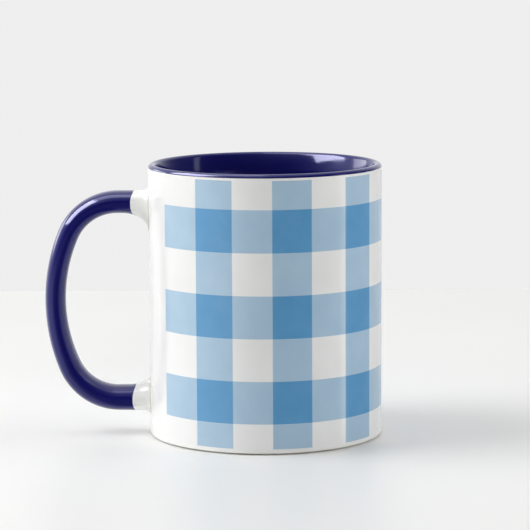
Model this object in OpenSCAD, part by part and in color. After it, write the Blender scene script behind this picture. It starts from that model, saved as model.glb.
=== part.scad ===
// Two-tone ceramic mug with a strap handle and a gingham wrap print.
//
// The cup stands on its foot ring at z = 0 with its axis along Z, and the handle reaches towards -X.
// The clay pieces are bare, and each fired layer on them is a skin of its own: the dark glaze inside
// and on the grip, the white glaze outside, and the clear coat with the printed checks set flush in it.

/* [Cup] */
// Outside diameter of the finished cup
mug_d = 82; // [64:1:100]
// Height from the table to the top of the rim
mug_h = 96; // [76:1:120]
// Thickness of the finished wall, with its glazes and coat
wall_t = 4; // [3:0.1:5.5]
// Radius of the rim's lip
rim_r = 1.4; // [1.2:0.1:1.4]
// Length over which the inside of the wall tapers to the rim
taper_l = 10; // [6:1:14]
// Thickness of the clay floor above the hollow of the foot
floor_t = 5.2; // [3:0.1:8]
// Inside radius where the wall meets the floor
floor_corner_r = 9; // [4:0.5:14]
// Radius of the clay edge at the bottom of the wall
base_edge_r = 1.4; // [0.8:0.1:2.5]
// Width of the flat ring that the cup stands on
foot_w = 4.2; // [2.5:0.1:7]
// Depth of the hollow inside the foot ring
foot_hollow = 1.8; // [1.2:0.1:3.5]
// Radius of the hollow's edge, where the foot ring meets the underside
hollow_edge_r = 0.8; // [0.4:0.1:1]

/* [Glazes and coat] */
// Thickness of each fired glaze
glaze_t = 0.4; // [0.25:0.05:0.6]
// Thickness of the clear coat that holds the print
coat_t = 0.2; // [0.1:0.05:0.3]
// Depth of the dark rim glaze down the outside, below the top of the rim
rim_glaze_drop = 1.25; // [0.6:0.05:1.3]
// Height of bare clay left above the table
bare_foot_h = 0.6; // [0.3:0.1:1]

/* [Handle] */
// Distance from the finished wall to the outermost point of the handle
handle_reach = 36.75; // [30:0.5:46]
// Depth of the upper end's centre line below the rim
upper_drop = 13.5; // [12:0.5:20]
// Height of the lower end's centre line above the table
lower_rise = 12.6; // [11:0.2:20]
// Radius of the centre line at the two corners of the handle
corner_r = 19.1; // [14:0.2:22]
// Radius of the centre line along the back of the handle
back_r = 59.5; // [48:1:90]
// Finished thickness of the handle at its upper end
upper_t = 8; // [6:0.1:10]
// Finished thickness of the handle at the middle of its back
back_t = 7.2; // [5.5:0.1:10]
// Finished thickness of the handle at its lower end
lower_t = 9; // [6:0.1:11]
// Finished width of the handle across its grip
handle_w = 12.8; // [9:0.1:18]
// Fullness of the handle's oval section, where 2 is an ellipse
section_power = 2.3; // [2:0.1:3]

/* [Handle joints] */
// Length of the white neck at each end, along the top and bottom of the handle
neck_l = 5; // [4:0.1:7]
// Extra length of the neck on the two sides of the handle
neck_bulge = 1.1; // [0:0.1:1.5]
// Length of the web under the upper joint
upper_web_l = 9; // [5:0.1:11]
// Height of the web under the upper joint
upper_web_h = 6.6; // [3:0.1:8]
// Length of the web over the lower joint
lower_web_l = 7; // [5:0.1:11]
// Height of the web over the lower joint
lower_web_h = 4.2; // [2:0.1:8]
// Length of the small fillet on the outer side of each joint
shoulder_l = 1.8; // [1:0.1:4]
// Height of the small fillet on the outer side of each joint
shoulder_h = 1.6; // [1:0.1:3]
// Length of the fillet on the two sides of each joint
cheek_l = 3; // [1:0.1:4]
// Height of the fillet on the two sides of each joint
cheek_h = 1.3; // [0.5:0.1:2.5]
// Least thickness of the slip squeezed round the handle's end
slip_t = 0.5; // [0.3:0.1:1]

/* [Print] */
// Width of wall left unprinted, centred on the handle
print_gap = 47; // [36:0.5:60]
// Height of the print's lower edge above the table
print_bottom = 2.1; // [2:0.1:10]
// Depth of the print's upper edge below the rim
print_drop = 2.1; // [2.1:0.1:10]
// Width of one check round the cup
check_w = 13.78; // [8:0.02:24]
// Height of one check
check_h = 14.66; // [8:0.02:24]
// Distance from the print's lower edge to its lowest band
first_band = 8.65; // [0.5:0.05:20]

/* [Quality] */
// Number of flats round the handle's section
handle_sides = 24; // [16:4:32]
// Number of steps along the handle between its necks
handle_steps = 36; // [24:2:44]
// Number of steps along each neck
neck_steps = 5; // [3:1:8]

/* [Hidden] */
$fn = 96;

clay_color = "#e6dfd2";
slip_color = "#d8cfc0";
dark_color = "#1b1a55";
white_color = "#f7f7f4";
coat_color = "#ececea";
pale_color = "#a8c4de";
deep_color = "#5b9ad0";

// A cutter runs this far past what it cuts
past = 1;

// Radii of the layers, from the outside in
mug_r = mug_d / 2;
print_r = mug_r - coat_t;
clay_r = print_r - glaze_t;
glazed_in_r = mug_r - wall_t;
clay_in_r = glazed_in_r + glaze_t;

// The rim is a round lip, in clay and again in the finished section. On the inside, a long arc leads
// from the straight wall at taper_z into the lip.
rim_mid_r = mug_r - rim_r;
rim_mid_z = mug_h - rim_r;
clay_rim_r = clay_r - rim_mid_r;
taper_z = mug_h - taper_l;
lip_steps = 16;
taper_steps = 8;
rim_border_z = mug_h - rim_glaze_drop;

// Heights of the floor, and the radius of the hollow under it
clay_floor_z = foot_hollow + floor_t;
mid_floor_z = foot_hollow + floor_t / 2;
hollow_r = clay_r - base_edge_r - foot_w;
mid_foot_r = hollow_r + foot_w / 2;

// Centre line of the handle: a straight neck, a corner arc, a back arc, and the same again mirrored
// about the middle height. u is the distance from the cup's axis towards the handle.
upper_z = mug_h - upper_drop;
handle_mid_z = (upper_z + lower_rise) / 2;
corner_rise = upper_z - handle_mid_z - corner_r;
back_mid_u = mug_r + handle_reach - back_t / 2 - back_r;
corner_mid_u = back_mid_u + sqrt((back_r - corner_r) ^ 2 - corner_rise ^ 2);
back_half_angle = asin(corner_rise / (back_r - corner_r));
straight_l = corner_mid_u - mug_r;
corner_l = corner_r * (90 - back_half_angle) * PI / 180;
back_half_l = back_r * back_half_angle * PI / 180;
handle_l = 2 * (straight_l + corner_l + back_half_l);
// The ends of the handle's pieces start this far inside the wall, and the clay cup then cuts them
root_l = (clay_r - clay_in_r) / 2 + past;

// The print runs round the cup from one side of the handle to the other
print_gap_angle = print_gap / mug_r * 180 / PI;
print_w = 2 * PI * mug_r - print_gap;
print_top = mug_h - print_drop;
coat_bottom = print_bottom - 0.3;
coat_top = rim_mid_z;
// The stripes are centred opposite the handle, with at least a check of plain ground left at each side
stripe_count = floor((print_w / check_w - 1) / 2);
first_stripe = (print_w - (2 * stripe_count - 1) * check_w) / 2;
band_count = ceil((print_top - print_bottom - first_band) / (2 * check_h));

// ---- Handle: centre line, section and surfaces ----

// Place on the upper half of the centre line at a distance s from the wall: [u, z, outward u, outward z]
function upper_line(s) =
    s < straight_l ? [mug_r + s, upper_z, 0, 1]
    : s < straight_l + corner_l
        ? let (a = 90 - (s - straight_l) / corner_r * 180 / PI)
            [corner_mid_u + corner_r * cos(a), handle_mid_z + corner_rise + corner_r * sin(a), cos(a), sin(a)]
        : let (a = (handle_l / 2 - s) / back_r * 180 / PI)
            [back_mid_u + back_r * cos(a), handle_mid_z + back_r * sin(a), cos(a), sin(a)];

function centre_line(s) =
    s <= handle_l / 2 ? upper_line(s)
    : let (p = upper_line(handle_l - s)) [p[0], 2 * handle_mid_z - p[1], p[2], -p[3]];

// Height of an elliptical fillet of length l and height h, at a distance d from the wall
function fillet(l, h, d) = d <= 0 ? h : d >= l ? 0 : h * (1 - sqrt(1 - (1 - d / l) ^ 2));

function finished_t(s) =
    back_t + ((s < handle_l / 2 ? upper_t : lower_t) - back_t) * cos(180 * s / handle_l) ^ 2;

// Growth of the section on its outer side, its inner side and its cheeks, from the fillets of both joints
function outer_flare(s) = fillet(shoulder_l, shoulder_h, min(s, handle_l - s));
function inner_flare(s) = fillet(upper_web_l, upper_web_h, s) + fillet(lower_web_l, lower_web_h, handle_l - s);
function cheek_flare(s) = fillet(cheek_l, cheek_h, min(s, handle_l - s));

function full(x) = sign(x) * abs(x) ^ (2 / section_power);

// One ring of points round the handle at s. skin is what lies over the clay there, flared says whether
// the ring follows the fillets, and bulge slides the two sides of the ring along the handle.
function ring(s, skin, flared = true, bulge = 0) = [
    for (i = [0 : handle_sides - 1])
        let (
            a = 360 * i / handle_sides,
            at = s + bulge * cos(a) ^ 2,
            p = centre_line(at),
            flare = flared ? (sin(a) > 0 ? outer_flare(at) : inner_flare(at)) : 0,
            side = flared ? cheek_flare(at) : 0,
            h = (finished_t(at) / 2 - glaze_t + skin + flare) * full(sin(a)),
            w = (handle_w / 2 - glaze_t + skin + side) * full(cos(a))
        )
        [-(p[0] + p[2] * h), w, p[1] + p[3] * h]
];

// Distances of the rings along the upper neck and along the grip
neck_stops = concat([-root_l, 0], [for (i = [1 : neck_steps]) neck_l * (i / neck_steps) ^ 2]);
grip_l = handle_l - 2 * neck_l;
grip_stops = [for (i = [0 : handle_steps]) neck_l + grip_l * i / handle_steps];
inner_grip_stops = [for (s = grip_stops) if (min(s, handle_l - s) > neck_l + neck_bulge + 0.4) s];

// Rings of a neck's surface. lower mirrors the distances to the other end of the handle.
function at_end(s, lower) = lower ? handle_l - s : s;
function neck_rings(skin, lower, bulge = 0) = [
    for (s = neck_stops) ring(at_end(s, lower), skin, true, s == neck_l ? (lower ? -bulge : bulge) : 0)
];
function plug_rings(lower) = [for (s = neck_stops) ring(at_end(s, lower), -slip_t, false)];
function grip_rings(skin) = concat(
    [ring(neck_l, skin, true, neck_bulge)],
    [for (s = inner_grip_stops) ring(s, skin)],
    [ring(handle_l - neck_l, skin, true, -neck_bulge)]
);

// Triangles of the wall between successive rings, turned inwards when inward is true
function wall_faces(rings, first, inward) = [
    for (k = [0 : rings - 2], i = [0 : handle_sides - 1], half = [0, 1])
        let (
            a = first + k * handle_sides + i,
            b = first + k * handle_sides + (i + 1) % handle_sides,
            c = b + handle_sides,
            d = a + handle_sides,
            f = half == 0 ? [a, b, c] : [a, c, d]
        )
        inward ? [f[2], f[1], f[0]] : f
];

// Triangles that close the end between an outer and an inner ring
function end_faces(outer, inner, flip) = [
    for (i = [0 : handle_sides - 1], half = [0, 1])
        let (
            j = (i + 1) % handle_sides,
            f = half == 0 ? [outer + i, inner + i, inner + j] : [outer + i, inner + j, outer + j]
        )
        flip ? [f[2], f[1], f[0]] : f
];

// A solid rod through rings that run from the upper end to the lower end
module rod(rings) {
    last = (len(rings) - 1) * handle_sides;
    polyhedron(
        points = [for (r = rings) each r],
        faces = concat(
            [[for (i = [handle_sides - 1 : -1 : 0]) i]],
            wall_faces(len(rings), 0, false),
            [[for (i = [0 : handle_sides - 1]) last + i]]
        )
    );
}

// A closed skin between two sets of rings that run from the upper end to the lower end
module skin(outer, inner) {
    count = len(outer) * handle_sides;
    last = count - handle_sides;
    polyhedron(
        points = concat([for (r = outer) each r], [for (r = inner) each r]),
        faces = concat(
            wall_faces(len(outer), 0, false),
            wall_faces(len(inner), count, true),
            end_faces(0, count, false),
            end_faces(last, count + last, true)
        )
    );
}

function reversed(list) = [for (i = [len(list) - 1 : -1 : 0]) list[i]];

// A neck's rings in the order that rod and skin want
function in_order(rings, lower) = lower ? reversed(rings) : rings;

// Cuts a handle piece so that it seats on the clay wall of the cup
module seated_on_wall() {
    difference() {
        children();
        cylinder(r = clay_r, h = mug_h);
    }
}

// All that a neck takes up, skin included, for the hole that it needs in the layers on the wall
module neck_envelope(lower) {
    rod(in_order(neck_rings(glaze_t, lower), lower));
}

// ---- Cup: half sections in the plane of radius and height ----

// Points on an arc round mid, from angle a0 to a1 in n steps, without the first ones
function arc_points(mid, r, a0, a1, n, skipped = 0) =
    [for (i = [skipped : n]) let (a = a0 + (a1 - a0) * i / n) mid + r * [cos(a), sin(a)]];

// A filled half section with a rounded bottom edge and a hollow with a rounded corner.
// below is how far its bottom lies under the table, which the layers of glaze use.
// The taper's arc leaves the inner wall straight up, and runs into the lip's arc at the angle meet.
module cup_half(out_r, edge_r, below, in_r, floor_z, corner, top_r, under_r, under_z, under_edge) {
    taper_w = rim_mid_r - in_r;
    taper_h = rim_mid_z - taper_z;
    taper_r = (taper_w ^ 2 - top_r ^ 2 + taper_h ^ 2) / (2 * (taper_w - top_r));
    meet = 180 - asin(taper_h / (taper_r - top_r));
    difference() {
        union() {
            translate([0, edge_r - below]) square([out_r, taper_z - edge_r + below]);
            translate([0, -below]) square([out_r - edge_r, taper_z + below]);
            translate([out_r - edge_r, edge_r - below]) circle(r = edge_r);
            polygon(concat(
                [[0, taper_z - past], [out_r, taper_z - past]],
                arc_points([rim_mid_r, rim_mid_z], top_r, 0, meet, lip_steps),
                arc_points([in_r + taper_r, taper_z], taper_r, meet, 180, taper_steps, 1),
                [[0, taper_z]]
            ));
        }
        translate([0, floor_z + corner]) square([in_r, mug_h]);
        translate([0, floor_z]) square([in_r - corner, mug_h]);
        translate([in_r - corner, floor_z + corner]) circle(r = corner);
        translate([0, -below - past]) square([under_r, under_z - under_edge + below + past]);
        square([under_r - under_edge, under_z]);
        translate([under_r - under_edge, under_z - under_edge]) circle(r = under_edge);
    }
}

module clay_half() {
    cup_half(clay_r, base_edge_r, 0, clay_in_r, clay_floor_z, floor_corner_r, clay_rim_r,
        hollow_r, foot_hollow, hollow_edge_r);
}

// The finished section: the clay with every layer on it
module finished_half() {
    layers = mug_r - clay_r;
    cup_half(mug_r, base_edge_r + layers, layers, glazed_in_r, clay_floor_z + glaze_t, floor_corner_r - glaze_t,
        rim_r, hollow_r - glaze_t, foot_hollow - glaze_t, hollow_edge_r - glaze_t / 2);
}

// The part of the layers that lies in a box from radius r0 to r1 and from height z0 to z1
module layer_half(r0, r1, z0, z1) {
    difference() {
        intersection() {
            finished_half();
            translate([r0, z0]) square([r1 - r0, z1 - z0]);
        }
        clay_half();
    }
}

// ---- Print: cells laid out round the wall ----

// A patch of the coat from a to b millimetres along the print and from z0 to z1, grown in depth by extra
module patch(a, b, z0, z1, extra = 0) {
    per_mm = 180 / PI / mug_r;
    rotate([0, 0, 180 + print_gap_angle / 2 + a * per_mm])
        rotate_extrude(angle = (b - a) * per_mm)
            translate([print_r - extra, z0])
                square([coat_t + 2 * extra, z1 - z0]);
}

function stripe_start(i) = first_stripe + 2 * i * check_w;
function stripe_end(i) = stripe_start(i) + check_w;
function band_start(i) = print_bottom + first_band + 2 * i * check_h;
function band_end(i) = min(band_start(i) + check_h, print_top);

// The plain ground before each stripe or band, and after the last one
function column_gap(i) = [
    i == 0 ? 0 : stripe_end(i - 1),
    i == stripe_count ? print_w : stripe_start(i)
];
function row_gap(i) = [
    i == 0 ? print_bottom : band_end(i - 1),
    i == band_count ? print_top : band_start(i)
];

// ---- The pieces ----

module cup_body() {
    color(clay_color)
        rotate_extrude()
            clay_half();
}

module handle_core() {
    color(clay_color)
        seated_on_wall()
            rod(concat(
                [ring(-root_l, -slip_t, false), ring(neck_l, -slip_t, false)],
                [for (s = grip_stops) ring(s, 0)],
                [ring(handle_l - neck_l, -slip_t, false), ring(handle_l + root_l, -slip_t, false)]
            ));
}

module slip_joint(lower) {
    color(slip_color)
        seated_on_wall()
            skin(in_order(neck_rings(0, lower), lower), in_order(plug_rings(lower), lower));
}

module upper_slip_joint() {
    slip_joint(false);
}

module lower_slip_joint() {
    slip_joint(true);
}

module inside_glaze() {
    color(dark_color)
        rotate_extrude() {
            layer_half(0, rim_mid_r, mid_floor_z, mug_h + past);
            layer_half(rim_mid_r, mug_r + past, rim_border_z, mug_h + past);
        }
}

module outside_glaze() {
    color(white_color)
        difference() {
            rotate_extrude()
                difference() {
                    layer_half(rim_mid_r, mug_r + past, bare_foot_h, rim_border_z);
                    translate([print_r, coat_bottom]) square([coat_t + past, coat_top - coat_bottom]);
                }
            neck_envelope(false);
            neck_envelope(true);
        }
}

module base_glaze() {
    color(white_color)
        rotate_extrude()
            layer_half(0, mid_foot_r, bare_foot_h, mid_floor_z);
}

module grip_glaze() {
    color(dark_color)
        skin(grip_rings(glaze_t), grip_rings(0));
}

module neck_glaze(lower) {
    color(white_color)
        seated_on_wall()
            skin(
                in_order(neck_rings(glaze_t, lower, neck_bulge), lower),
                in_order(neck_rings(0, lower, neck_bulge), lower)
            );
}

module upper_neck_glaze() {
    neck_glaze(false);
}

module lower_neck_glaze() {
    neck_glaze(true);
}

module print_coat() {
    color(coat_color)
        difference() {
            rotate_extrude()
                translate([print_r, coat_bottom]) square([coat_t, coat_top - coat_bottom]);
            for (i = [0 : stripe_count - 1])
                patch(stripe_start(i), stripe_end(i), print_bottom, print_top, coat_t);
            for (i = [0 : band_count - 1])
                patch(0, print_w, band_start(i), band_end(i), coat_t);
            neck_envelope(false);
            neck_envelope(true);
        }
}

// The pale checks where a stripe crosses plain ground. There is no ground over a band that ends the print.
module print_stripe_checks() {
    color(pale_color)
        for (i = [0 : stripe_count - 1], j = [0 : band_count])
            if (row_gap(j)[1] > row_gap(j)[0])
                patch(stripe_start(i), stripe_end(i), row_gap(j)[0], row_gap(j)[1]);
}

// The pale checks where a band crosses plain ground
module print_band_checks() {
    color(pale_color)
        for (i = [0 : stripe_count], j = [0 : band_count - 1])
            patch(column_gap(i)[0], column_gap(i)[1], band_start(j), band_end(j));
}

// The deep checks where a stripe crosses a band
module print_crossing_checks() {
    color(deep_color)
        for (i = [0 : stripe_count - 1], j = [0 : band_count - 1])
            patch(stripe_start(i), stripe_end(i), band_start(j), band_end(j));
}

cup_body();
handle_core();
upper_slip_joint();
lower_slip_joint();
inside_glaze();
outside_glaze();
base_glaze();
grip_glaze();
upper_neck_glaze();
lower_neck_glaze();
print_coat();
print_stripe_checks();
print_band_checks();
print_crossing_checks();
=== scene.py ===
"""A two-tone ceramic mug with a strap handle and a gingham wrap print.

The cup's layers are turned: a half section is drawn and spun round the cup's axis, as on a wheel.
The print is ruled on the wall and cut apart into its checks, and the handle is pulled along its
centre line, ring by ring. Sizes are in metres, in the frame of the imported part.
"""

import math

import bmesh
import bpy
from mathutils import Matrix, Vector


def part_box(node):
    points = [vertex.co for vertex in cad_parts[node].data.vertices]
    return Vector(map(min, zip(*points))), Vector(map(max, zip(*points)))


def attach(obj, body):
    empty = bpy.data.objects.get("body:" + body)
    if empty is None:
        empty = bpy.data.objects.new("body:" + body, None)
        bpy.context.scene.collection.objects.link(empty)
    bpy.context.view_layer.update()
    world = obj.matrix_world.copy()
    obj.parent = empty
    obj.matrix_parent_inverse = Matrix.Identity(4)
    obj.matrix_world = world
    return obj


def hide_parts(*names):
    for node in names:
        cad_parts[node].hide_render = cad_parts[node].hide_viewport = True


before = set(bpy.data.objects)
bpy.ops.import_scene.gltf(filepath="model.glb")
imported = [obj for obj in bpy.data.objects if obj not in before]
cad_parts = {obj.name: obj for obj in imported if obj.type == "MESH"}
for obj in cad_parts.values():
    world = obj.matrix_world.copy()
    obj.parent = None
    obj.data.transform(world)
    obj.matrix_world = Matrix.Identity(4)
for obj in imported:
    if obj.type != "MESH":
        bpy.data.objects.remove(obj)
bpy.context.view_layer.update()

MM = 0.001

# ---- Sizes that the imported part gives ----

CUP_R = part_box("print_coat")[1].x
CUP_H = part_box("inside_glaze")[1].z
CLAY_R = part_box("cup_body")[1].x
CLAY_TOP_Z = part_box("cup_body")[1].z
CLAY_FLOOR_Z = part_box("inside_glaze")[0].z
RIM_BORDER_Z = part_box("outside_glaze")[1].z
BARE_FOOT_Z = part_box("outside_glaze")[0].z
HOLLOW_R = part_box("base_glaze")[1].x
HOLLOW_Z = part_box("base_glaze")[1].z
COAT_Z = [corner.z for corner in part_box("print_coat")]
PRINT_Z = [corner.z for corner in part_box("print_stripe_checks")]
BANDS_Z = [corner.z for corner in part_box("print_band_checks")]
PRINT_EDGE_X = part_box("print_band_checks")[0].x
STRIPE_EDGE_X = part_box("print_stripe_checks")[0].x
HANDLE_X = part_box("grip_glaze")[0].x
HANDLE_W = 2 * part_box("grip_glaze")[1].y
UPPER_NECK_TOP_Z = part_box("upper_neck_glaze")[1].z
LOWER_NECK_BOTTOM_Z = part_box("lower_neck_glaze")[0].z

# ---- Sizes inside those boxes, as the part has them ----

WALL_T = 4 * MM
RIM_R = 1.4 * MM
TAPER_L = 10 * MM
GLAZE_T = 0.4 * MM
COAT_T = 0.2 * MM
FLOOR_CORNER_R = 9 * MM
BASE_EDGE_R = 1.4 * MM
HOLLOW_EDGE_R = 0.8 * MM
STRIPES = 7
BANDS = 3

UPPER_T = 8 * MM
BACK_T = 7.2 * MM
LOWER_T = 9 * MM
CORNER_R = 19.1 * MM
BACK_R = 59.5 * MM
SECTION_POWER = 2.3
NECK_L = 5 * MM
NECK_BULGE = 1.1 * MM
UPPER_WEB = (9 * MM, 6.6 * MM)
LOWER_WEB = (7 * MM, 4.2 * MM)
SHOULDER = (1.8 * MM, 1.6 * MM)
CHEEK = (3 * MM, 1.3 * MM)

# ---- How finely things are made ----

TURNED_SIDES = 224
LEAST_ARC_STEPS = 6
ARC_STEP = math.radians(6)
PRINT_STEP = math.radians(0.8)
HANDLE_SIDES = 48
NECK_RINGS = 12
GRIP_STEP = 1.2 * MM
SMOOTH_ANGLE = math.radians(38)
MERGE_GAP = 0.002 * MM
# The necks start this far inside the wall, and follow its curve up to this far from it
ROOT_L = 0.5 * MM
SAG_L = 3 * MM


# ---- Modelling ----


def start_piece(name, place):
    """A new piece in edit mode that is one selected vertex, and sits at the origin."""
    bpy.ops.object.select_all(action="DESELECT")
    bpy.ops.mesh.primitive_plane_add(size=MM, location=place)
    piece = bpy.context.object
    piece.name = name
    piece.data.name = name
    bpy.ops.object.transform_apply(location=True, rotation=True, scale=True)
    bpy.ops.object.mode_set(mode="EDIT")
    bpy.ops.mesh.merge(type="CENTER")
    return piece


def close_piece(piece):
    """Merges what meets, points the faces outwards and leaves edit mode."""
    bpy.ops.mesh.select_all(action="SELECT")
    bpy.ops.mesh.remove_doubles(threshold=MERGE_GAP)
    bpy.ops.mesh.normals_make_consistent(inside=False)
    bpy.ops.object.mode_set(mode="OBJECT")
    return piece


def smooth(piece):
    bpy.ops.object.select_all(action="DESELECT")
    piece.select_set(True)
    bpy.context.view_layer.objects.active = piece
    bpy.ops.object.shade_smooth_by_angle(angle=SMOOTH_ANGLE)
    return piece


def thicken(piece, thickness):
    """Gives a sheet its thickness inwards from the face that shows."""
    bpy.ops.object.select_all(action="DESELECT")
    piece.select_set(True)
    bpy.context.view_layer.objects.active = piece
    solidify = piece.modifiers.new("thickness", "SOLIDIFY")
    solidify.thickness = thickness
    solidify.offset = -1
    bpy.ops.object.modifier_apply(modifier=solidify.name)
    return piece


def turned(name, start, moves):
    """Draws a half section from start by its moves, and spins it round the cup's axis.

    A move of two values is a straight line to that radius and height. A move of three is an arc
    round that centre, by so many degrees, counter-clockwise in the half section.
    """
    piece = start_piece(name, (start[0], 0, start[1]))
    r, z = start
    for move in moves:
        if len(move) == 2:
            bpy.ops.mesh.extrude_region_move(TRANSFORM_OT_translate={"value": (move[0] - r, 0, move[1] - z)})
            r, z = move
        else:
            angle = math.radians(move[2])
            steps = max(LEAST_ARC_STEPS, round(abs(angle) / ARC_STEP))
            bpy.ops.mesh.spin(steps=steps, angle=angle, center=(move[0], 0, move[1]), axis=(0, 1, 0))
            dr, dz = r - move[0], z - move[1]
            r = move[0] + dr * math.cos(angle) - dz * math.sin(angle)
            z = move[1] + dr * math.sin(angle) + dz * math.cos(angle)
    bpy.ops.mesh.select_all(action="SELECT")
    bpy.ops.mesh.spin(steps=TURNED_SIDES, angle=2 * math.pi, center=(0, 0, 0), axis=(0, 0, 1))
    return smooth(close_piece(piece))


def arc_to(centre, radius, z0, z1):
    """Degrees of an arc on the outer side of its centre, between two heights."""
    start, end = (math.asin(min(1, (z - centre) / radius)) for z in (z0, z1))
    return math.degrees(end - start)


def on_arc(centre, radius, z):
    """Radius at which an arc's outer side has a height. centre is its radius and height."""
    return centre[0] + math.sqrt(radius**2 - (z - centre[1]) ** 2)


# ---- The cup ----

FINISHED_IN_R = CUP_R - WALL_T
CLAY_IN_R = FINISHED_IN_R + GLAZE_T
RIM_MID = (CUP_R - RIM_R, CUP_H - RIM_R)
CLAY_RIM_R = CLAY_R - RIM_MID[0]
TAPER_Z = CUP_H - TAPER_L
FINISHED_FLOOR_Z = CLAY_FLOOR_Z + GLAZE_T
FLOOR_CORNER = (CLAY_IN_R - FLOOR_CORNER_R, CLAY_FLOOR_Z + FLOOR_CORNER_R)
BASE_EDGE = (CLAY_R - BASE_EDGE_R, BASE_EDGE_R)
FINISHED_EDGE_R = BASE_EDGE_R + CUP_R - CLAY_R
HOLLOW_EDGE = (HOLLOW_R - HOLLOW_EDGE_R, HOLLOW_Z - HOLLOW_EDGE_R)


def taper(in_r, lip_r):
    """The arc from the inner wall into the lip: its centre, and the degrees that it turns through."""
    width, height = RIM_MID[0] - in_r, RIM_MID[1] - TAPER_Z
    radius = (width**2 - lip_r**2 + height**2) / (2 * (width - lip_r))
    return (in_r + radius, TAPER_Z), math.degrees(math.asin(height / (radius - lip_r)))


TAPER_MID, TAPER_TURN = taper(FINISHED_IN_R, RIM_R)
CLAY_TAPER_MID, CLAY_TAPER_TURN = taper(CLAY_IN_R, CLAY_RIM_R)


def clay_cup():
    """The bare clay body, which shows only at the foot ring."""
    return turned("clay_cup", (0, HOLLOW_Z), [
        (HOLLOW_EDGE[0], HOLLOW_Z),
        (*HOLLOW_EDGE, -90),
        (HOLLOW_R, 0),
        (BASE_EDGE[0], 0),
        (*BASE_EDGE, 90),
        (CLAY_R, RIM_MID[1]),
        (*RIM_MID, 180 - CLAY_TAPER_TURN),
        (*CLAY_TAPER_MID, CLAY_TAPER_TURN),
        (CLAY_IN_R, FLOOR_CORNER[1]),
        (*FLOOR_CORNER, -90),
        (0, CLAY_FLOOR_Z),
    ])


def navy_lining():
    """The dark glaze of the inside, with its roll over the rim."""
    over = arc_to(RIM_MID[1], RIM_R, RIM_BORDER_Z, CUP_H)
    under = arc_to(RIM_MID[1], CLAY_RIM_R, RIM_BORDER_Z, CLAY_TOP_Z)
    return turned("navy_lining", (0, FINISHED_FLOOR_Z), [
        (FLOOR_CORNER[0], FINISHED_FLOOR_Z),
        (*FLOOR_CORNER, 90),
        (FINISHED_IN_R, TAPER_Z),
        (*TAPER_MID, -TAPER_TURN),
        (*RIM_MID, TAPER_TURN - 90 - over),
        (on_arc(RIM_MID, CLAY_RIM_R, RIM_BORDER_Z), RIM_BORDER_Z),
        (*RIM_MID, 90 + under - CLAY_TAPER_TURN),
        (*CLAY_TAPER_MID, CLAY_TAPER_TURN),
        (CLAY_IN_R, FLOOR_CORNER[1]),
        (*FLOOR_CORNER, -90),
        (0, CLAY_FLOOR_Z),
    ])


def white_wall_glaze():
    """The white glaze of the wall, from the rim's border to the bare foot, stepped back for the coat."""
    over = arc_to(RIM_MID[1], RIM_R, RIM_MID[1], RIM_BORDER_Z)
    under = arc_to(RIM_MID[1], CLAY_RIM_R, RIM_MID[1], RIM_BORDER_Z)
    clay_edge = arc_to(BASE_EDGE[1], BASE_EDGE_R, BARE_FOOT_Z, BASE_EDGE[1])
    glaze_edge = arc_to(BASE_EDGE[1], FINISHED_EDGE_R, BARE_FOOT_Z, BASE_EDGE[1])
    return turned("white_wall_glaze", (on_arc(RIM_MID, RIM_R, RIM_BORDER_Z), RIM_BORDER_Z), [
        (*RIM_MID, -over),
        (CUP_R - COAT_T, COAT_Z[1]),
        (CUP_R - COAT_T, COAT_Z[0]),
        (CUP_R, COAT_Z[0]),
        (CUP_R, BASE_EDGE[1]),
        (*BASE_EDGE, -glaze_edge),
        (on_arc(BASE_EDGE, BASE_EDGE_R, BARE_FOOT_Z), BARE_FOOT_Z),
        (*BASE_EDGE, clay_edge),
        (CLAY_R, RIM_MID[1]),
        (*RIM_MID, under),
        (on_arc(RIM_MID, RIM_R, RIM_BORDER_Z), RIM_BORDER_Z),
    ])


def white_base_glaze():
    """The white glaze in the hollow under the cup."""
    depth = HOLLOW_Z - GLAZE_T
    inner_r = HOLLOW_R - GLAZE_T
    edge_r = HOLLOW_EDGE_R - GLAZE_T / 2
    return turned("white_base_glaze", (0, HOLLOW_Z), [
        (HOLLOW_EDGE[0], HOLLOW_Z),
        (*HOLLOW_EDGE, -90),
        (HOLLOW_R, BARE_FOOT_Z),
        (inner_r, BARE_FOOT_Z),
        (inner_r, depth - edge_r),
        (inner_r - edge_r, depth - edge_r, 90),
        (0, depth),
    ])


# ---- The print ----


def print_columns():
    """Angles from the print's first edge, round the cup, at which a stripe or a gap starts."""
    half_gap = math.acos(-PRINT_EDGE_X / CUP_R)
    first = math.acos(-STRIPE_EDGE_X / CUP_R) - half_gap
    width = (2 * math.pi - 2 * half_gap - 2 * first) / (2 * STRIPES - 1)
    edges = [0] + [first + i * width for i in range(2 * STRIPES)]
    return half_gap, edges + [2 * math.pi - 2 * half_gap, 2 * math.pi]


def print_rows():
    """Heights on the wall at which a margin, a plain row or a band starts."""
    height = (BANDS_Z[1] - BANDS_Z[0]) / (2 * BANDS - 1)
    bands = [BANDS_Z[0] + i * height for i in range(2 * BANDS)]
    return [COAT_Z[0], PRINT_Z[0]] + bands + [PRINT_Z[1], COAT_Z[1]]


def check_kind(centre, half_gap, columns, rows):
    """What a face of the ruled wall belongs to: the coat, a stripe, a band or a crossing."""
    angle = (math.atan2(centre.y, centre.x) - math.pi - half_gap) % (2 * math.pi)
    column = sum(angle > edge for edge in columns[1:])
    row = sum(centre.z > edge for edge in rows[1:])
    printed = column <= 2 * STRIPES and 0 < row < len(rows) - 2
    in_stripe = printed and column % 2 == 1
    in_band = printed and row % 2 == 0
    return ["coat", "stripe", "band", "crossing"][in_stripe + 2 * in_band]


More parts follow.
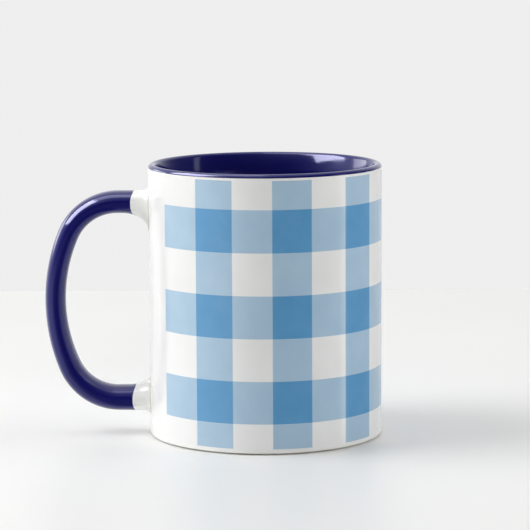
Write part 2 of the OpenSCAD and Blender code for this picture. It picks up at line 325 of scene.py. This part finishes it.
def printed_wall():
    """The clear coat and the dyed checks in it, flush with each other on the wall."""
    half_gap, columns = print_columns()
    rows = print_rows()
    start = math.pi + half_gap
    sheet = start_piece("coat", (CUP_R * math.cos(start), CUP_R * math.sin(start), rows[0]))
    for low, high in zip(rows, rows[1:]):
        bpy.ops.mesh.extrude_region_move(TRANSFORM_OT_translate={"value": (0, 0, high - low)})
    bpy.ops.mesh.select_all(action="SELECT")
    for low, high in zip(columns, columns[1:]):
        steps = math.ceil((high - low) / PRINT_STEP)
        bpy.ops.mesh.spin(steps=steps, angle=high - low, center=(0, 0, 0), axis=(0, 0, -1))
    close_piece(sheet)
    made = {}
    for kind in ("stripe", "band", "crossing"):
        bpy.ops.object.select_all(action="DESELECT")
        sheet.select_set(True)
        bpy.context.view_layer.objects.active = sheet
        bpy.ops.object.mode_set(mode="EDIT")
        bpy.ops.mesh.select_mode(type="FACE")
        mesh = bmesh.from_edit_mesh(sheet.data)
        for face in mesh.faces:
            face.select_set(check_kind(face.calc_center_median(), half_gap, columns, rows) == kind)
        bpy.ops.mesh.separate(type="SELECTED")
        bpy.ops.mesh.select_mode(type="VERT")
        bpy.ops.object.mode_set(mode="OBJECT")
        made[kind] = next(o for o in bpy.context.selected_objects if o != sheet)
    made["coat"] = sheet
    return {kind: smooth(thicken(piece, COAT_T)) for kind, piece in made.items()}


# ---- The handle ----

UPPER_LINE_Z = UPPER_NECK_TOP_Z - UPPER_T / 2 - SHOULDER[1]
LOWER_LINE_Z = LOWER_NECK_BOTTOM_Z + LOWER_T / 2 + SHOULDER[1]
HANDLE_MID_Z = (UPPER_LINE_Z + LOWER_LINE_Z) / 2
CORNER_RISE = UPPER_LINE_Z - HANDLE_MID_Z - CORNER_R
BACK_MID_X = HANDLE_X + BACK_T / 2 + BACK_R
CORNER_MID_X = BACK_MID_X - math.sqrt((BACK_R - CORNER_R) ** 2 - CORNER_RISE**2)
BACK_HALF_ANGLE = math.asin(CORNER_RISE / (BACK_R - CORNER_R))
STRAIGHT_L = -CORNER_MID_X - CUP_R
CORNER_ANGLE = math.pi / 2 - BACK_HALF_ANGLE
CORNER_END = STRAIGHT_L + CORNER_R * CORNER_ANGLE
HANDLE_L = 2 * (CORNER_END + BACK_R * BACK_HALF_ANGLE)


def fillet(size, distance):
    """Height of an elliptical fillet of that length and height, at a distance from the wall."""
    length, height = size
    if distance >= length:
        return 0
    return height * (1 - math.sqrt(1 - (1 - max(distance, 0) / length) ** 2))


def handle_size(s):
    """Outer half thickness, inner half thickness and half width of the handle at s along its line."""
    end_t = UPPER_T if s < HANDLE_L / 2 else LOWER_T
    half_t = (BACK_T + (end_t - BACK_T) * math.cos(math.pi * s / HANDLE_L) ** 2) / 2
    near = min(s, HANDLE_L - s)
    web = fillet(UPPER_WEB, s) + fillet(LOWER_WEB, HANDLE_L - s)
    return half_t + fillet(SHOULDER, near), half_t + web, HANDLE_W / 2 + fillet(CHEEK, near)


def handle_line(s):
    """Place on the centre line at s, and the outward direction there."""
    if s > HANDLE_L / 2:
        place, outward = handle_line(HANDLE_L - s)
        return Vector((place.x, 0, 2 * HANDLE_MID_Z - place.z)), Vector((outward.x, 0, -outward.z))
    if s < STRAIGHT_L:
        return Vector((-CUP_R - s, 0, UPPER_LINE_Z)), Vector((0, 0, 1))
    if s < CORNER_END:
        angle = math.pi / 2 - (s - STRAIGHT_L) / CORNER_R
        outward = Vector((-math.cos(angle), 0, math.sin(angle)))
        return Vector((CORNER_MID_X, 0, HANDLE_MID_Z + CORNER_RISE)) + CORNER_R * outward, outward
    angle = (HANDLE_L / 2 - s) / BACK_R
    outward = Vector((-math.cos(angle), 0, math.sin(angle)))
    return Vector((BACK_MID_X, 0, HANDLE_MID_Z)) + BACK_R * outward, outward


def handle_stops():
    """Distances of the rings along the handle, closer together towards the wall."""
    neck = [NECK_L * (i / NECK_RINGS) ** 2 for i in range(NECK_RINGS + 1)]
    first = NECK_L + NECK_BULGE + GRIP_STEP / 2
    count = round((HANDLE_L - 2 * first) / GRIP_STEP)
    grip = [first + (HANDLE_L - 2 * first) * i / count for i in range(count + 1)]
    return neck + grip + [HANDLE_L - s for s in reversed(neck)]


def ring_at(s):
    """A test for the vertices of the ring at s, where the handle is still straight."""
    place, _ = handle_line(s)
    upper = place.z > HANDLE_MID_Z
    return lambda co: abs(co.x - place.x) < MERGE_GAP and (co.z > HANDLE_MID_Z) == upper


def narrow_selection(piece, test):
    """Leaves selected only the vertices that pass the test."""
    mesh = bmesh.from_edit_mesh(piece.data)
    for vertex in mesh.verts:
        if vertex.select and not test(vertex.co):
            vertex.select_set(False)
    mesh.select_flush_mode()
    bmesh.update_edit_mesh(piece.data)


def selected_widths(piece):
    """The distances from the middle plane at which the selection has vertices, each once."""
    mesh = bmesh.from_edit_mesh(piece.data)
    return sorted({round(abs(vertex.co.y) / MERGE_GAP) * MERGE_GAP for vertex in mesh.verts if vertex.select})


def at_width(y):
    return lambda co: abs(abs(co.y) - y) < MERGE_GAP


def first_ring():
    """The handle's oval section in edit mode, at its root in the wall of the cup."""
    outer, inner, width = handle_size(0)
    centre, outward = handle_line(0)
    centre.x += ROOT_L
    bpy.ops.object.select_all(action="DESELECT")
    bpy.ops.mesh.primitive_circle_add(
        vertices=HANDLE_SIDES, radius=width, location=centre, rotation=(0, math.pi / 2, 0)
    )
    piece = bpy.context.object
    piece.name = "navy_grip"
    bpy.ops.object.transform_apply(location=True, rotation=True, scale=True)
    bpy.ops.object.mode_set(mode="EDIT")
    fullness = 2 / SECTION_POWER - 1
    for y in selected_widths(piece):
        across = y / width
        up = math.sqrt(max(0, 1 - across**2))
        bpy.ops.mesh.select_all(action="SELECT")
        narrow_selection(piece, at_width(y))
        fuller = [1 if part < 1e-3 else part**fullness for part in (across, up)]
        bpy.ops.transform.resize(value=(1, *fuller), center_override=centre)
    bpy.ops.mesh.select_all(action="SELECT")
    reshape_half(piece, centre, outward, outer / width, 1, 1)
    reshape_half(piece, centre, outward, inner / width, 1, -1)
    return piece


def pull_ring(s_from, s_to):
    """Draws the handle on from one stop to the next, and reshapes its new section about its line."""
    place_from, outward_from = handle_line(s_from)
    place_to, outward_to = handle_line(s_to)
    turn = math.atan2(outward_to.z, outward_to.x) - math.atan2(outward_from.z, outward_from.x)
    bpy.ops.mesh.extrude_region_move()
    bpy.ops.transform.rotate(value=turn % (2 * math.pi), orient_axis="Y", center_override=place_from)
    bpy.ops.transform.translate(value=place_to - place_from)
    return place_to, outward_to


def reshape_half(piece, centre, outward, growth, widening, side):
    """Scales the half of the selected ring on one side of the handle's line, or the line's own points."""
    mesh = bmesh.from_edit_mesh(piece.data)
    ring = [vertex for vertex in mesh.verts if vertex.select]
    for vertex in ring:
        height = (vertex.co - centre).dot(outward)
        vertex.select_set((height > MERGE_GAP) - (height < -MERGE_GAP) == side)
    bpy.ops.transform.resize(
        value=(1, widening, growth),
        orient_type="GLOBAL",
        orient_matrix=(outward.cross((0, 1, 0)), (0, 1, 0), outward),
        orient_matrix_type="GLOBAL",
        center_override=centre,
    )
    for vertex in ring:
        vertex.select_set(True)


def slide_ring(piece, s, amount):
    """Slides the ring at s along the straight end of the handle, by an amount that depends on the width."""
    bpy.ops.object.select_all(action="DESELECT")
    piece.select_set(True)
    bpy.context.view_layer.objects.active = piece
    bpy.ops.object.mode_set(mode="EDIT")
    bpy.ops.mesh.select_all(action="SELECT")
    on_ring = ring_at(s)
    narrow_selection(piece, on_ring)
    for y in selected_widths(piece):
        if amount(y):
            bpy.ops.mesh.select_all(action="SELECT")
            narrow_selection(piece, lambda co: on_ring(co) and at_width(y)(co))
            bpy.ops.transform.translate(value=(amount(y), 0, 0))
    bpy.ops.object.mode_set(mode="OBJECT")


def split_off(piece, name, belongs):
    """Takes the faces whose middles belong off a piece, as a piece of their own."""
    bpy.ops.object.select_all(action="DESELECT")
    piece.select_set(True)
    bpy.context.view_layer.objects.active = piece
    bpy.ops.object.mode_set(mode="EDIT")
    bpy.ops.mesh.select_mode(type="FACE")
    mesh = bmesh.from_edit_mesh(piece.data)
    for face in mesh.faces:
        face.select_set(belongs(face.calc_center_median()))
    bpy.ops.mesh.separate(type="SELECTED")
    bpy.ops.mesh.select_mode(type="VERT")
    bpy.ops.object.mode_set(mode="OBJECT")
    made = next(o for o in bpy.context.selected_objects if o != piece)
    made.name = name
    made.data.name = name
    return made


def wall_sag(y):
    """How far the round wall lies behind its front line at a width."""
    return CUP_R - math.sqrt(CUP_R**2 - y**2)


def handle_pieces():
    """The glaze of the grip and of its two necks, as one flowing skin in three pieces."""
    grip = first_ring()
    bpy.ops.mesh.extrude_region_move(TRANSFORM_OT_translate={"value": (-ROOT_L, 0, 0)})
    stops = handle_stops()
    for s_from, s_to in zip(stops, stops[1:]):
        centre, outward = pull_ring(s_from, s_to)
        old, new = handle_size(s_from), handle_size(s_to)
        outer, inner, widening = (after / before for before, after in zip(old, new))
        reshape_half(grip, centre, outward, outer, widening, 1)
        reshape_half(grip, centre, outward, inner, widening, -1)
        reshape_half(grip, centre, outward, 1, widening, 0)
    bpy.ops.mesh.extrude_region_move(TRANSFORM_OT_translate={"value": (ROOT_L, 0, 0)})
    close_piece(grip)

    border_x = -CUP_R - NECK_L
    necks = {
        "upper": split_off(grip, "upper_white_neck", lambda c: c.x > border_x and c.z > HANDLE_MID_Z),
        "lower": split_off(grip, "lower_white_neck", lambda c: c.x > border_x and c.z < HANDLE_MID_Z),
    }
    half_w = handle_size(NECK_L)[2]
    bulge = lambda y: -NECK_BULGE * min(1, y / half_w) ** SECTION_POWER
    for end, neck in necks.items():
        mirrored = (lambda s: HANDLE_L - s) if end == "lower" else (lambda s: s)
        for piece in (grip, neck):
            slide_ring(piece, mirrored(NECK_L), bulge)
        for s in [-ROOT_L] + [s for s in stops if s < SAG_L]:
            share = (1 - max(s, 0) / SAG_L) ** 2
            slide_ring(neck, mirrored(s), lambda y: share * wall_sag(y))
    return grip, necks["upper"], necks["lower"]


# ---- Materials ----


def linear(hex_colour):
    """An sRGB hex colour as linear red, green, blue and alpha."""
    parts = [int(hex_colour[i : i + 2], 16) / 255 for i in (1, 3, 5)]
    return [p / 12.92 if p <= 0.04045 else ((p + 0.055) / 1.055) ** 2.4 for p in parts] + [1]


def per(size_mm):
    """The texture scale at which a feature of a pattern is that many millimetres across."""
    return 1 / (size_mm * MM)


def add(tree, kind, settings=None, values=None, links=None):
    """Adds a node with its settings, its sockets' values and what is linked into them."""
    made = tree.nodes.new(kind)
    for name, value in (settings or {}).items():
        setattr(made, name, value)
    for name, value in (values or {}).items():
        made.inputs[name].default_value = value
    for name, source in (links or {}).items():
        tree.links.new(source, made.inputs[name])
    return made


def new_material(name, ior, **sockets):
    material = bpy.data.materials.new(name)
    material.use_nodes = True
    tree = material.node_tree
    shader = tree.nodes["Principled BSDF"]
    shader.inputs["IOR"].default_value = ior
    for socket, value in sockets.items():
        shader.inputs[socket.replace("_", " ").title()].default_value = value
    place = add(tree, "ShaderNodeTexCoord").outputs["Object"]
    return material, tree, shader, place


def noise(tree, place, size_mm, detail=2):
    """A soft noise whose patches are that many millimetres across."""
    values = {"Scale": per(size_mm), "Detail": detail, "Roughness": 0.5}
    return add(tree, "ShaderNodeTexNoise", values=values, links={"Vector": place}).outputs["Fac"]


def vary(tree, shader, socket, source, low, high):
    """Varies a plain socket between two values with a source that runs from about 0.3 to 0.7."""
    values = {"From Min": 0.3, "From Max": 0.7, "To Min": low, "To Max": high}
    spread = add(tree, "ShaderNodeMapRange", values=values, links={"Value": source})
    tree.links.new(spread.outputs["Result"], shader.inputs[socket])


def tint(tree, source, low_hex, high_hex, low=0.3, high=0.7):
    """Mixes two colours by a source, from low to high."""
    ramp = add(tree, "ShaderNodeValToRGB", links={"Fac": source})
    ramp.color_ramp.elements[0].position = low
    ramp.color_ramp.elements[0].color = linear(low_hex)
    ramp.color_ramp.elements[1].position = high
    ramp.color_ramp.elements[1].color = linear(high_hex)
    return ramp.outputs["Color"]


def relief(tree, shader, heights):
    """Chains bumps of those heights, each a source and the depth of its relief in millimetres."""
    normal = None
    for source, depth_mm in heights:
        links = {"Height": source}
        if normal:
            links["Normal"] = normal
        values = {"Strength": 1, "Distance": depth_mm * MM}
        normal = add(tree, "ShaderNodeBump", values=values, links=links).outputs["Normal"]
    tree.links.new(normal, shader.inputs["Normal"])


def cobalt_glaze():
    """Cobalt glaze, dipped and fired to a gloss: near black in the mass, violet where light gets in."""
    material, tree, shader, place = new_material("cobalt_glaze", 1.6)
    shader.inputs["Specular Tint"].default_value = linear("#dcdcff")
    pooling = noise(tree, place, 16)
    ripple = noise(tree, place, 3.2)
    tree.links.new(tint(tree, pooling, "#0f0f5e", "#131264"), shader.inputs["Base Color"])
    vary(tree, shader, "Roughness", noise(tree, place, 7), 0.09, 0.16)
    relief(tree, shader, [(pooling, 0.05), (ripple, 0.006)])
    return material


def white_glaze():
    """Opaque white glaze, dipped and fired to a gloss: it lies in soft ripples, like orange peel."""
    material, tree, shader, place = new_material("white_glaze", 1.52)
    pooling = noise(tree, place, 18)
    ripple = noise(tree, place, 2.8)
    tree.links.new(tint(tree, pooling, "#f1f1ee", "#f7f7f5"), shader.inputs["Base Color"])
    vary(tree, shader, "Roughness", noise(tree, place, 8), 0.1, 0.18)
    relief(tree, shader, [(pooling, 0.05), (ripple, 0.006)])
    return material


def clear_coat():
    """Clear polyester coat over the white glaze, sprayed and baked: glossy and a shade cooler."""
    material, tree, shader, place = new_material("clear_polyester_coat", 1.55)
    flow = noise(tree, place, 18)
    peel = noise(tree, place, 2.2)
    tree.links.new(tint(tree, flow, "#f1f1f0", "#f6f6f5"), shader.inputs["Base Color"])
    vary(tree, shader, "Roughness", noise(tree, place, 9), 0.1, 0.16)
    relief(tree, shader, [(flow, 0.05), (peel, 0.005)])
    return material


def dyed_coat(name, thin_hex, full_hex):
    """The same coat with ink dyed into it by heat: flat colour with a faint, dry grain in the dye.

    The real grain is finer than a tenth of a millimetre, and is drawn at 0.5 mm so that it shows.
    """
    material, tree, shader, place = new_material(name, 1.55)
    flow = noise(tree, place, 18)
    peel = noise(tree, place, 2.2)
    grain = noise(tree, place, 0.5, detail=3)
    uneven = noise(tree, place, 9)
    mixed = add(tree, "ShaderNodeMath", {"operation": "MULTIPLY_ADD"}, {1: 0.6}, {0: grain, 2: uneven})
    dye = tint(tree, mixed.outputs["Value"], thin_hex, full_hex, 0.5, 1.1)
    tree.links.new(dye, shader.inputs["Base Color"])
    vary(tree, shader, "Roughness", noise(tree, place, 9), 0.1, 0.16)
    relief(tree, shader, [(flow, 0.05), (peel, 0.005)])
    return material


def bare_clay(name, pale_hex, dark_hex):
    """Bare fired clay, sponged and ground flat: matt and sandy, with pinpoint iron specks.

    The real sand is about 0.1 mm across, and is drawn at 0.35 mm so that it shows.
    """
    material, tree, shader, place = new_material(name, 1.5, roughness=0.85)
    sand = noise(tree, place, 0.35, detail=4)
    patches = noise(tree, place, 6)
    body = tint(tree, patches, dark_hex, pale_hex)
    speck_scale = {"Scale": per(1.6), "Randomness": 1}
    cells = add(tree, "ShaderNodeTexVoronoi", values=speck_scale, links={"Vector": place}).outputs["Distance"]
    specks = tint(tree, cells, "#8a7763", "#ffffff", 0.06, 0.12)
    speckled = add(
        tree, "ShaderNodeMix", {"data_type": "RGBA", "blend_type": "MULTIPLY"}, {0: 0.6}, {6: body, 7: specks}
    )
    tree.links.new(speckled.outputs[2], shader.inputs["Base Color"])
    vary(tree, shader, "Roughness", sand, 0.78, 0.92)
    relief(tree, shader, [(patches, 0.04), (sand, 0.03)])
    return material


# ---- The finished pieces ----


def finish_piece(piece, material, slot, *nodes):
    piece.data.materials.clear()
    piece.data.materials.append(material)
    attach(piece, "root")
    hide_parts(*nodes)


def make_mug():
    clay = bare_clay("fired_stoneware", "#e9e2d6", "#e0d8ca")
    slip = bare_clay("fired_slip", "#f1eee8", "#e9e5dc")
    navy = cobalt_glaze()
    white = white_glaze()
    pale = dyed_coat("pale_blue_dyed_coat", "#b3cee3", "#abc8df")
    deep = dyed_coat("deep_blue_dyed_coat", "#65a2d1", "#5b9ccc")

    finish_piece(clay_cup(), clay, "clay", "cup_body")
    finish_piece(navy_lining(), navy, "navy_glaze", "inside_glaze")
    finish_piece(white_wall_glaze(), white, "white_glaze", "outside_glaze")
    finish_piece(white_base_glaze(), white, "white_glaze", "base_glaze")

    wall = printed_wall()
    named = {
        "coat": "clear_wall_coat",
        "stripe": "stripe_checks",
        "band": "band_checks",
        "crossing": "crossing_checks",
    }
    for kind, name in named.items():
        wall[kind].name = name
        wall[kind].data.name = name
    finish_piece(wall["coat"], clear_coat(), "clear_coat", "print_coat")
    finish_piece(wall["stripe"], pale, "pale_print", "print_stripe_checks")
    finish_piece(wall["band"], pale, "pale_print", "print_band_checks")
    finish_piece(wall["crossing"], deep, "deep_print", "print_crossing_checks")

    grip, upper_neck, lower_neck = handle_pieces()
    for piece in (grip, upper_neck, lower_neck):
        smooth(thicken(piece, GLAZE_T))
    finish_piece(grip, navy, "navy_glaze", "grip_glaze")
    finish_piece(upper_neck, white, "white_glaze", "upper_neck_glaze")
    finish_piece(lower_neck, white, "white_glaze", "lower_neck_glaze")

    for node, material in (("handle_core", clay), ("upper_slip_joint", slip), ("lower_slip_joint", slip)):
        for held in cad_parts[node].material_slots:
            held.material = material


# ---- The studio ----

CAMERA_ELEVATION = math.radians(8.07)
CAMERA_DISTANCE = 0.905
CAMERA_ROLL = math.radians(-0.3)
CAMERA_LENS = 174.2
CAMERA_SENSOR = 36
TARGET = Vector((-0.1 * MM, 0, 59.7 * MM))
FLOOR_BACK_Y = 0.335
FLOOR_SIDE = 3.0

# How bright the camera sees the backdrop, and the share of the room's glow that fills the shade
BACKDROP = 0.86
ROOM_FILL = 0.42

# The room's glow in three rings, each of azimuths in degrees with their radiance: below the table's
# level, level with the mug and high up. Azimuth 0 is the camera's side, 90 the right. A ramp gives no
# more than 1, so a stop above 1 only widens the stretch round it that is at 1.
GLOW_BELOW = [
    (-180, 0.9), (-150, 1.05), (-120, 1.1), (-90, 1.25), (-70, 1.7), (-50, 1.6), (-30, 0.8), (-10, 0.12),
    (20, 0.02), (50, 0.12), (75, 0.3), (100, 0.25), (120, 0.25), (150, 0.58), (180, 0.9),
]
GLOW_LEVEL = [
    (-180, 1.7), (-150, 1.9), (-120, 1.5), (-95, 1.2), (-75, 0.6), (-50, 0.2), (-30, 0.08), (0, 0.03),
    (60, 0.06), (120, 0.1), (150, 1.0), (180, 1.7),
]
GLOW_HIGH = [
    (-180, 2.0), (-150, 2.2), (-120, 3.0), (-80, 3.6), (-40, 1.4), (0, 0.3), (40, 0.1), (80, 0.15),
    (120, 0.5), (150, 1.6), (180, 2.0),
]

# Each ring above the first, with the heights of direction between which it takes over
RINGS_ABOVE = [(GLOW_LEVEL, -0.08, 0.03), (GLOW_HIGH, 0.25, 0.7)]

# The glow straight overhead, the same all round, and where it takes over
GLOW_TOP = 1.2
TOP_RISE = (0.75, 1)

# Azimuth, elevation, distance, width and height, and radiance of each soft box
FILLS = {
    "left_window": (-88, 18, 1.4, (0.9, 0.7), 3.4),
    "left_skylight": (-88, 48, 1.4, (0.9, 0.8), 3.4),
    "right_window": (90, 15, 1.4, (0.8, 0.6), 5.2),
    "back_window": (180, 16, 1.5, (1.8, 0.7), 1.15),
    "front_fill": (10, 28, 1.4, (1.0, 0.8), 1.3),
}
REFLECTED = {
    "near_softbox": (-83, 39, 0.32, (0.23, 0.19), 13),
    "overhead_softbox": (-90, 70, 0.4, (0.25, 0.3), 2.6),
    "back_left_gloss": (-128, 12, 1.3, (0.6, 0.36), 3.0),
    "right_strip": (82, 5, 1.2, (0.15, 1.2), 1.25),
}


def camera():
    made = bpy.data.objects.new("camera", bpy.data.cameras.new("camera"))
    bpy.context.scene.collection.objects.link(made)
    made.data.lens = CAMERA_LENS
    made.data.sensor_width = CAMERA_SENSOR
    made.data.clip_start = 0.01
    away = Vector((0, -math.cos(CAMERA_ELEVATION), math.sin(CAMERA_ELEVATION)))
    made.location = TARGET + CAMERA_DISTANCE * away
    made.rotation_euler = (-away).to_track_quat("-Z", "Y").to_euler()
    made.rotation_euler.rotate_axis("Z", CAMERA_ROLL)
    bpy.context.scene.camera = made


def soft_light(name, azimuth, elevation, distance, size, radiance, reflected):
    """A soft box that looks at the mug, and is either reflected in its gloss or only fills its shade."""
    data = bpy.data.lights.new(name, "AREA")
    data.shape = "RECTANGLE"
    data.size, data.size_y = size
    data.energy = radiance * math.pi * size[0] * size[1]
    made = bpy.data.objects.new(name, data)
    bpy.context.scene.collection.objects.link(made)
    a, e = math.radians(azimuth), math.radians(elevation)
    away = Vector((math.sin(a) * math.cos(e), -math.cos(a) * math.cos(e), math.sin(e)))
    made.location = TARGET + distance * away
    made.rotation_euler = (-away).to_track_quat("-Z", "Y").to_euler()
    made.visible_camera = False
    made.visible_diffuse = not reflected
    made.visible_glossy = reflected


def pale_floor():
    """A plain pale tabletop that ends behind the mug, honed to a low sheen."""
    bpy.ops.object.select_all(action="DESELECT")
    bpy.ops.mesh.primitive_plane_add(size=FLOOR_SIDE, location=(0, FLOOR_BACK_Y - FLOOR_SIDE / 2, 0))
    floor = bpy.context.object
    floor.name = "floor"
    bpy.ops.object.transform_apply(location=True, rotation=True, scale=True)
    material, tree, shader, place = new_material("honed_table", 1.5, roughness=0.4)
    tree.links.new(tint(tree, noise(tree, place, 180), "#f2f2f0", "#f5f5f4"), shader.inputs["Base Color"])
    floor.data.materials.append(material)
    # In the mug's gloss, the room's glow from below stands in for the table
    floor.visible_glossy = False


def glow_round(tree, turn, glow):
    """How bright the room is at each azimuth in degrees, as a smooth ramp over one turn."""
    ramp = add(tree, "ShaderNodeValToRGB", links={"Fac": turn})
    ramp.color_ramp.interpolation = "B_SPLINE"
    stops = ramp.color_ramp.elements
    while len(stops) < len(glow):
        stops.new(1)
    for stop, (azimuth, radiance) in zip(stops, glow):
        stop.position = azimuth / 360 + 0.5
        stop.color = (radiance, radiance, radiance, 1)
    return ramp.outputs["Color"]


def blend_up(tree, rise, rise_low, rise_high, values, links):
    """Goes from one brightness to another with the height of the direction.

    The values and links set the lower brightness, which is socket 2, and the upper one, socket 3.
    """
    limits = {"From Min": rise_low, "From Max": rise_high}
    share = add(tree, "ShaderNodeMapRange", {"interpolation_type": "SMOOTHSTEP"}, limits, {"Value": rise})
    links = {0: share.outputs["Result"], **links}
    return add(tree, "ShaderNodeMix", {"data_type": "FLOAT"}, values, links).outputs[0]


def pale_room():
    """A pale backdrop for the camera, and for the mug a room that is bright to the left and behind."""
    world = bpy.data.worlds.new("room")
    bpy.context.scene.world = world
    world.use_nodes = True
    tree = world.node_tree
    background = tree.nodes["Background"]
    direction = add(tree, "ShaderNodeTexCoord").outputs["Generated"]
    sides = add(tree, "ShaderNodeSeparateXYZ", links={"Vector": direction}).outputs
    front = add(tree, "ShaderNodeMath", {"operation": "MULTIPLY"}, {1: -1}, {0: sides["Y"]})
    links = {0: sides["X"], 1: front.outputs["Value"]}
    azimuth = add(tree, "ShaderNodeMath", {"operation": "ARCTAN2"}, links=links)
    values = {1: 1 / math.tau, 2: 0.5}
    turn = add(tree, "ShaderNodeMath", {"operation": "MULTIPLY_ADD"}, values, {0: azimuth.outputs["Value"]})
    turn = turn.outputs["Value"]
    room = glow_round(tree, turn, GLOW_BELOW)
    for glow, rise_low, rise_high in RINGS_ABOVE:
        ring = glow_round(tree, turn, glow)
        room = blend_up(tree, sides["Z"], rise_low, rise_high, {}, {2: room, 3: ring})
    room = blend_up(tree, sides["Z"], *TOP_RISE, {3: GLOW_TOP}, {2: room})
    ray = add(tree, "ShaderNodeLightPath").outputs
    dimmed = add(tree, "ShaderNodeMath", {"operation": "MULTIPLY"}, {1: ROOM_FILL}, {0: room})
    links = {0: ray["Is Diffuse Ray"], 2: room, 3: dimmed.outputs["Value"]}
    shaded = add(tree, "ShaderNodeMix", {"data_type": "FLOAT"}, links=links).outputs[0]
    links = {0: ray["Is Camera Ray"], 2: shaded}
    seen = add(tree, "ShaderNodeMix", {"data_type": "FLOAT"}, {3: BACKDROP}, links).outputs[0]
    tree.links.new(seen, background.inputs["Strength"])
    background.inputs["Color"].default_value = (1, 1, 1, 1)


make_mug()
pale_floor()
pale_room()
camera()
for name, place in FILLS.items():
    soft_light(name, *place, reflected=False)
for name, place in REFLECTED.items():
    soft_light(name, *place, reflected=True)
bpy.context.scene.view_settings.view_transform = "Standard"
